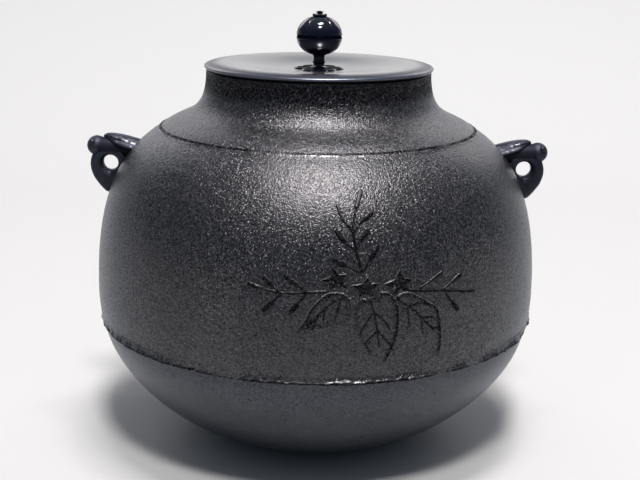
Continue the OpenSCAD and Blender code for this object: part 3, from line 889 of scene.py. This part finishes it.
def lug_ball(x, y, z, r, wide=1.0):
    """A ball with its poles along X, stretched sideways by wide."""
    a = np.linspace(0.02, math.pi - 0.02, 26)[:, None]
    reach = r * np.sin(a)
    return x - r * np.cos(a), y + wide * reach * np.cos(AROUND), z + reach * np.sin(AROUND)


def wing_line(points, u):
    """A smooth line through the points, at the given shares of its length."""
    path = through(points, 0.2)
    return at_distance(path, u * along(path)[-1])


def lug_wing():
    """A pair of wings as a thin bulged leaf between a ridge line and a lower line, with a step where the
    upper wing ends over the lower one, and its painted light: rows of painted highlight dashes along it."""
    u = np.linspace(0, 1, 60)
    w = (1 - np.cos(AROUND)) / 2
    face = np.sin(AROUND)
    top, low = wing_line(WING_RIDGE, u), wing_line(WING_EDGE, u)
    sheet = top[:, None] * (1 - w[:, None]) + low[:, None] * w[:, None]
    across = low - top
    out = np.stack([0 * u, -across[:, 2], across[:, 1]], 1)
    out /= np.linalg.norm(out, axis=1, keepdims=True) + 1e-9
    step = 0.6 * (1 - eased((w - 0.6) / 0.08)) * np.sin(math.pi * np.clip(1.15 * u, 0, 1))[:, None] ** 0.5
    half = 0.75 * np.abs(face) ** 0.6 * np.sign(face)
    half = half + np.where(face > 0, step * np.abs(face) ** 0.5, 0)
    wear = 0
    for place, painted_glint in WING_GLINTS:
        chance = np.interp(DASHES * u, np.arange(DASHES + 1), rng.uniform(0, 1, DASHES + 1))
        # Painted highlights: broken dashes along the wing's upper face
        dashes = painted_glint * np.clip(2 * chance - 0.6, 0, 1) * eased((u - 0.2) / 0.25)
        wear = wear + dashes[:, None] * np.where(face > 0, np.exp(-((w - place) / 0.05) ** 2), 0)
    bulge = 0.9 * np.sin(math.pi * w) * np.sin(math.pi * np.clip(u, 0, 0.8))[:, None]
    return sheet + out[:, None] * (bulge + half)[..., None], wear


def lug(side):
    """One insect lug: ring, trunk, head with two eyes, and wings, each worked out from the hole's middle.
    side is 1 for the right lug and -1 for the left."""
    skin = Skin()

    def put(x, y, z, loop=False, wear=0.0):
        """Adds a grid that is given from the hole's middle."""
        grid = np.broadcast_arrays(side * (x + HOLE[0]), y, z + HOLE[1])
        skin.add(np.stack(grid, -1), loop, wear)

    put(*lug_ring(), loop=True)
    # Painted shade dulls the trunk under the wings
    put(*lug_trunk(), wear=-0.7)
    put(*lug_ball(HEAD[0], 0, HEAD[1], HEAD_R, HEAD_WIDE))
    for y in (-1, 1):
        put(*lug_ball(HEAD[0] + EYE[0], y * EYE[1], HEAD[1] + EYE[2], EYE_R))
    for y in (-1, 1):
        sheet, wear = lug_wing()
        put(sheet[..., 0], y * sheet[..., 1], sheet[..., 2], wear=wear)
    return skin


# Lid and knob

LID_Z = 205.3
LID_TOP = 205.9
LID_UNDER = 202.9
LID_DISH = 3.3
UNDER_DISH = 0.55
LAND_R = 15.0
# The rim's nose: where it starts, and its reach out and up; then the crest of the roll above it
NOSE_R = 58.6
NOSE_OUT = 3.8
NOSE_UP = 1.95
CREST_R = 52.5
CREST_Z = 209.2
# The rim's painted shade: the radius where it starts, and its width
PAINTED_DARK_RIM = (52.0, 8.0)
SPIGOT = (53.4, 56.4)
SPIGOT_LOW = 200.3
SPIGOT_BREAK = 0.5
BORE_R = 1.7


def lid():
    """The lid: a rim whose underside is a quarter of a small ellipse and whose top is a broad roll, a
    scooped top that eases from its flat land up to the crest of the roll, a bored middle, a hollowed
    underside and the locating ring, carried round the axis."""
    nose_z = LID_Z + NOSE_UP
    a = np.radians(np.linspace(-90, 0, 16))
    nose = np.stack([NOSE_R + NOSE_OUT * np.cos(a), nose_z + NOSE_UP * np.sin(a)], 1)
    b = np.radians(np.linspace(0, 90, 30))[1:]
    roll_out = NOSE_R + NOSE_OUT - CREST_R
    roll = np.stack([CREST_R + roll_out * np.cos(b), nose_z + (CREST_Z - nose_z) * np.sin(b) ** 0.85], 1)
    u = np.linspace(1, 0, 40)[1:]
    scoop = np.stack([LAND_R + (CREST_R - LAND_R) * u, LID_TOP + LID_DISH * eased(u)], 1)
    v = np.linspace(0, 1, 16)
    under = np.stack([LAND_R + (SPIGOT[0] - LAND_R) * v, LID_UNDER + LID_DISH * UNDER_DISH * v * v], 1)
    spigot = [
        (SPIGOT[0], SPIGOT_LOW + SPIGOT_BREAK),
        (SPIGOT[0] + SPIGOT_BREAK, SPIGOT_LOW),
        (SPIGOT[1] - SPIGOT_BREAK, SPIGOT_LOW),
        (SPIGOT[1], SPIGOT_LOW + SPIGOT_BREAK),
        (SPIGOT[1], LID_Z),
    ]
    land = [(10.0, LID_TOP), (BORE_R, LID_TOP), (BORE_R, LID_UNDER), (10.0, LID_UNDER)]
    outline = np.concatenate([nose, roll, scoop, land, under, spigot])
    # Share of the rim painted dark, as painted shade
    rim = np.clip((outline[:, :1] - PAINTED_DARK_RIM[0]) / PAINTED_DARK_RIM[1], 0, 1)
    return Skin().add(turned(outline, ring_angles(240)), loop=True, wear=rim)


SEAT_R = 13.7
SEAT_T = 1.4
PETALS = 6
STEM_Z = 207.5
STEM_H = 6.0
BALL_Z = 223.6
BALL_R = 12.45
BALL_UP = 10.78
BALL_DOWN = 10.39
BALL_WALL = 1.7
BALL_FULL = 0.93
BALL_ROWS = 34
CROWN_R = 3.6
KNOB_BORE = 1.65
HALF_GAP = 0.1
GROOVES = 5
GROOVE_DEEP = 0.5
NOTCH = math.radians(4)
ROSETTE_Z = 234.09
ROSETTE_R = 4.2
ROSETTE_T = 1.3
ROSETTE_PETALS = 8
TIP_Z = 235.44
TIP_R = 2.5
TIP_H = 1.3
TIP_FOOT = 1.4
END_R = 0.95


def flower_r(angles, n, r):
    """Radius of a flower's outline, n round petals that reach out to r with the front between two of them,
    and the angle off each petal's middle."""
    petal = r * math.sin(math.pi / n) / (1 + math.sin(math.pi / n)) * 1.12
    off = np.mod(angles, 2 * math.pi / n) - math.pi / n
    c = r - petal
    return c * np.cos(off) + np.sqrt(np.clip(petal ** 2 - (c * np.sin(off)) ** 2, 0, None)), off


def knob_seat():
    """The flower seat: petals dished in the middle with a rounded raised edge, valleys between them and a
    low hub round the stem; rows run from the bore over the top to the edge and back underneath."""
    angles = ring_angles(216)
    edge, off = flower_r(angles, PETALS, SEAT_R)
    valley = np.exp(-((math.pi / PETALS - np.abs(off)) / 0.10) ** 2)
    rows = [np.stack([BORE_R + 0 * angles, 0 * angles], 1)]
    for share in np.concatenate([np.linspace(0, 0.9, 26), [0.94, 0.97, 0.99, 1.0]]):
        r = BORE_R + (edge - BORE_R) * share
        hub = 0.62 * np.clip(1 - ((r - 3.0) / 2.4) ** 2, 0, 1) * (r > 3.0) + 0.62 * (r <= 3.0)
        dish = 0.62 - 0.14 * np.sin(math.pi * np.clip((share - 0.28) / 0.55, 0, 1))
        rim = 0.22 * np.exp(-((share - 0.88) / 0.06) ** 2)
        fall = 0.42 * np.clip((share - 0.9) / 0.1, 0, 1) ** 2
        z = dish + hub + rim - fall - 0.28 * valley * np.clip((share - 0.25) / 0.2, 0, 1)
        rows.append(np.stack([r, np.clip(z, 0.12, SEAT_T)], 1))
    rows.append(np.stack([edge - 0.1, 0 * angles], 1))
    rows = np.stack(rows)
    r, z = rows[..., 0], rows[..., 1] + LID_TOP
    # Painted shade: dull black in the petals' dishes
    dull = np.interp(r, [4.0, 5.5, 11.0, 12.6], [0, -0.75, -0.75, 0])
    return Skin().add(round_axis(r, angles, z), loop=True, wear=dull)


def knob_stem():
    """The stem: a foot, a bead and a waist that flares out under the ball, carried round the axis."""
    a = np.radians(np.linspace(-70, 70, 15))
    bead = np.stack([2.8 + 0.8 * np.cos(a), 2.0 + 0.8 * np.sin(a)], 1)
    neck = curve((3.3, 2.8), (3.05, 3.6), (3.1, 4.8), (3.7, STEM_H), 20)
    foot = [(KNOB_BORE, 0.0), (3.2, 0.0), (3.0, 0.8)]
    outline = np.concatenate([foot, bead, neck, [(KNOB_BORE, STEM_H)]])
    outline[:, 1] += STEM_Z
    return Skin().add(turned(outline, ring_angles(72)), loop=True)


def half_ball(up, sign):
    """Outline of half the ball: an ellipse, a little fuller at its corners, from the notch at the equator
    to the crown or foot, and the inner wall back to the rim. sign is 1 for the upper half."""
    end = math.acos((CROWN_R / BALL_R) ** (1 / BALL_FULL))
    a = np.linspace(NOTCH, end, BALL_ROWS)
    outside = np.stack([BALL_R * np.cos(a) ** BALL_FULL, sign * up * np.sin(a) ** BALL_FULL], 1)
    inner_r, inner_up = BALL_R - BALL_WALL, up - BALL_WALL
    b = np.linspace(math.acos(KNOB_BORE / inner_r), 0.12, 16)
    inside = np.stack([inner_r * np.cos(b), sign * inner_up * np.sin(b)], 1)
    lap = sign * HALF_GAP
    rim = [(inner_r, lap), (BALL_R - GROOVE_DEEP - 0.25, lap), (BALL_R - GROOVE_DEEP, 0.4 * lap)]
    bore = [(KNOB_BORE, sign * up * math.sin(end) ** BALL_FULL)]
    return np.concatenate([outside, bore, inside, rim])


def knob_upper_half():
    """The ball's upper half: half an ellipse with five creases from the crown to the equator, each a
    smooth dip across its own line that dies out at both ends."""
    outline = half_ball(BALL_UP, 1)
    angles = ring_angles(360)
    grid = turned(outline, angles)
    step = 2 * math.pi / GROOVES
    off = np.mod(angles, step) - step / 2
    climb = np.clip(outline[:BALL_ROWS, 1:] / BALL_UP, 0, 1)
    ease = np.clip((climb - 0.04) / 0.12, 0, 1) * np.clip((0.97 - climb) / 0.08, 0, 1)
    across = outline[:BALL_ROWS, :1] * off
    dip = 0.26 * np.exp(-(across / 0.36) ** 2) + 0.10 * np.exp(-(across / 1.5) ** 2)
    shrink = 1 - ease * dip / BALL_R
    grid[:BALL_ROWS] *= shrink[..., None]
    grid[..., 2] += BALL_Z
    # Painted shade: dull black along the seam at the equator
    dull = np.interp(outline[:, 1:], [0.8, 1.3], [-1, 0])
    return Skin().add(grid, loop=True, wear=dull)


def knob_lower_half():
    """The ball's lower half: half an ellipse down to the stem, carried round the axis."""
    outline = half_ball(BALL_DOWN, -1)
    # Painted shade: dull black on the lower part of the ball and along the seam
    dull = np.interp(outline[:, 1:], [-6.0, -3.0, -1.3, -0.8], [-0.55, 0, 0, -1])
    outline[:, 1] += BALL_Z
    return Skin().add(turned(outline, ring_angles(160)), loop=True, wear=dull)


def knob_rosette():
    """The rosette on the crown: eight petals with a rounded edge round the tip."""
    angles = ring_angles(192)
    edge, _ = flower_r(angles, ROSETTE_PETALS, ROSETTE_R)
    a = np.radians(np.linspace(-90, 90, 15))[:, None]
    r = edge - 0.6 + 0.6 * np.cos(a)
    edges = round_axis(r, angles, ROSETTE_Z + ROSETTE_T * (0.5 + 0.5 * np.sin(a)))
    inner = turned(np.array([(END_R, ROSETTE_Z + ROSETTE_T), (END_R, ROSETTE_Z)]), angles)
    return Skin().add(np.concatenate([edges, inner]), loop=True)


def knob_tip():
    """The tip: a little cup that flares upwards, with four notches in its rim."""
    angles = ring_angles(96)
    notch = np.exp(-((np.mod(angles, math.pi / 2) - math.pi / 4) / 0.22) ** 2)
    outline = [(0.0, 0.0), (0.15, 0.25), (0.45, 0.7), (0.85, 1.0), (0.8, 1.04), (0.55, 0.98)]
    rows = [(END_R, 0.0)]
    for out, up in outline:
        cut = 0.42 * notch * np.clip((up - 0.3) / 0.6, 0, 1)
        rows.append((TIP_FOOT + (TIP_R - TIP_FOOT) * out, TIP_H * (up - cut)))
    rows.append((END_R, TIP_H * (0.8 - 0.1 * notch)))
    return Skin().add(np.stack([round_axis(r, angles, z + TIP_Z) for r, z in rows]), loop=True)


kettle_shell().piece("kettle_shell_cast", "kettle", "kettle_shell", "iron_skin", SKIN)
belly_leaves().piece("kettle_shell_leaves", "kettle", "kettle_shell", "iron_skin", SKIN)
belly_spray().piece("kettle_shell_spray", "kettle", "kettle_shell", "iron_skin", SPRAY)
broken_brim().piece("kettle_shell_brim", "kettle", "kettle_shell", "iron_skin", SKIN, 50)
kettle_bottom().piece("kettle_bottom_cast", "kettle", "kettle_bottom", "iron_bottom", BOTTOM)
lug(1).piece("lug_right_insect", "kettle", "lug_right", "iron_lug", LUG)
lug(-1).piece("lug_left_insect", "kettle", "lug_left", "iron_lug", LUG)
lid().piece("lid_scooped", "lid", "lid", "bronze_lid", LID)
knob_seat().piece("knob_seat_flower", "lid", "knob_seat", "bronze_knob", KNOB, 60)
knob_stem().piece("knob_stem_beaded", "knob", "knob_stem", "bronze_knob", KNOB)
knob_lower_half().piece("knob_lower_bowl", "knob", "knob_lower_half", "bronze_knob", KNOB)
knob_upper_half().piece("knob_upper_creased", "knob", "knob_upper_half", "bronze_knob", KNOB, 60)
knob_rosette().piece("knob_rosette_petals", "knob", "knob_rosette", "bronze_knob", KNOB, 60)
knob_tip().piece("knob_tip_notched", "knob", "knob_tip", "bronze_knob", KNOB, 60)


# Stage, light, camera

def studio():
    """A pale floor that sweeps up into a backdrop: a quarter circle between a level and an upright run."""
    a = np.linspace(0, math.pi / 2, 25)
    bend = 0.5
    back = 1.1
    run = np.concatenate([
        [(-0.6, 0.0), (0.0, 0.0), (back - bend, 0.0)],
        np.stack([back - bend + bend * np.sin(a), bend - bend * np.cos(a)], 1),
        [(back, 0.62)],
    ])
    width = np.linspace(-3, 3, 7)
    points = np.stack(np.broadcast_arrays(width, run[:, :1], run[:, 1:]), -1)
    ids = np.arange(points.size // 3).reshape(points.shape[:2])
    faces = np.stack([ids[:-1, :-1], ids[:-1, 1:], ids[1:, 1:], ids[1:, :-1]], -1).reshape(-1, 4)
    paper = Finish("studio_paper", Roughness=0.75)
    tone = paper.mix(paper.noise(3.0, 3.0), rgb(0.409, 0.412, 0.412), rgb(0.427, 0.430, 0.430))
    mesh = smooth_mesh("studio_sweep", points.reshape(-1, 3), faces.tolist(), paper.set(Base_Color=tone))
    obj = placed("studio_sweep", mesh)


def soft_light(name, place, aim, size, power, colour=(1.0, 1.0, 1.0), spread=180):
    """A rectangle of light at a place, turned towards its aim, with its spread in degrees."""
    data = bpy.data.lights.new(name, "AREA")
    data.shape = "RECTANGLE"
    data.size, data.size_y = size
    data.energy = power
    data.color = colour
    data.spread = math.radians(spread)
    obj = placed(name, data)
    obj.location = place
    obj.rotation_euler = (Vector(aim) - Vector(place)).to_track_quat("-Z", "Y").to_euler()


CAMERA_PLACE = (0, -0.64563, 0.2807)
CAMERA_TURN = (14.9, 0.2, 1.0)


def camera():
    """The photograph's camera, worked out from the circles of lid, shoulder line and seam: its place, then
    how far it looks down, to the right, and leans."""
    pitch, yaw, roll = (math.radians(v) for v in CAMERA_TURN)
    ahead = Vector((math.sin(yaw) * math.cos(pitch), math.cos(yaw) * math.cos(pitch), -math.sin(pitch)))
    right = Vector((math.cos(yaw), -math.sin(yaw), 0))
    up = right.cross(ahead)
    right, up = right * math.cos(roll) + up * math.sin(roll), up * math.cos(roll) - right * math.sin(roll)
    data = bpy.data.cameras.new("camera")
    data.sensor_fit = "HORIZONTAL"
    data.sensor_width = 36
    data.lens = 66.18
    data.clip_start = 0.01
    obj = placed("camera", data)
    turn = Matrix((right, up, -ahead)).transposed().to_4x4()
    obj.matrix_world = Matrix.Translation(CAMERA_PLACE) @ turn
    bpy.context.scene.camera = obj


def air():
    """Pale air all round: dim and blue near the level, brighter and nearly white overhead."""
    world = bpy.data.worlds.new("studio_air")
    nodes = Nodes(world, "Background")
    ray = nodes.node("ShaderNodeTexCoord", {}, {}, "Generated")
    upward = nodes.node("ShaderNodeSeparateXYZ", {}, {0: ray}, "Z").between(0.3, 0.95)
    tint = nodes.mix(upward, rgb(0.62, 0.80, 1.06), rgb(0.90, 0.91, 1.0))
    nodes.set(Color=tint, Strength=0.20 + upward * 0.36)
    bpy.context.scene.world = world


# Colours of the lights, and the places that they are turned to, in metres
LAMP = (1.0, 0.96, 0.94)
WARM = (1.0, 0.93, 0.89)
KETTLE = (0, 0, 0.1)
SHOULDERS = (0, 0, 0.18)

studio()
soft_light("key", (0.10, -1.16, 2.20), KETTLE, (0.36, 0.36), 57, LAMP)
soft_light("top", (0.16, -0.20, 2.40), KETTLE, (0.7, 0.5), 54, LAMP)
soft_light("back", (0.1, 0.35, 1.5), (0.1, 1.1, 0.35), (1.6, 0.6), 1.0, spread=80)
for name, x in (("left_wing", -0.65), ("right_wing", 0.65)):
    soft_light(name, (x, 1.05, 0.75), SHOULDERS, (0.7, 0.5), 3.1, WARM)
camera()
air()
bpy.context.scene.view_settings.view_transform = "Standard"
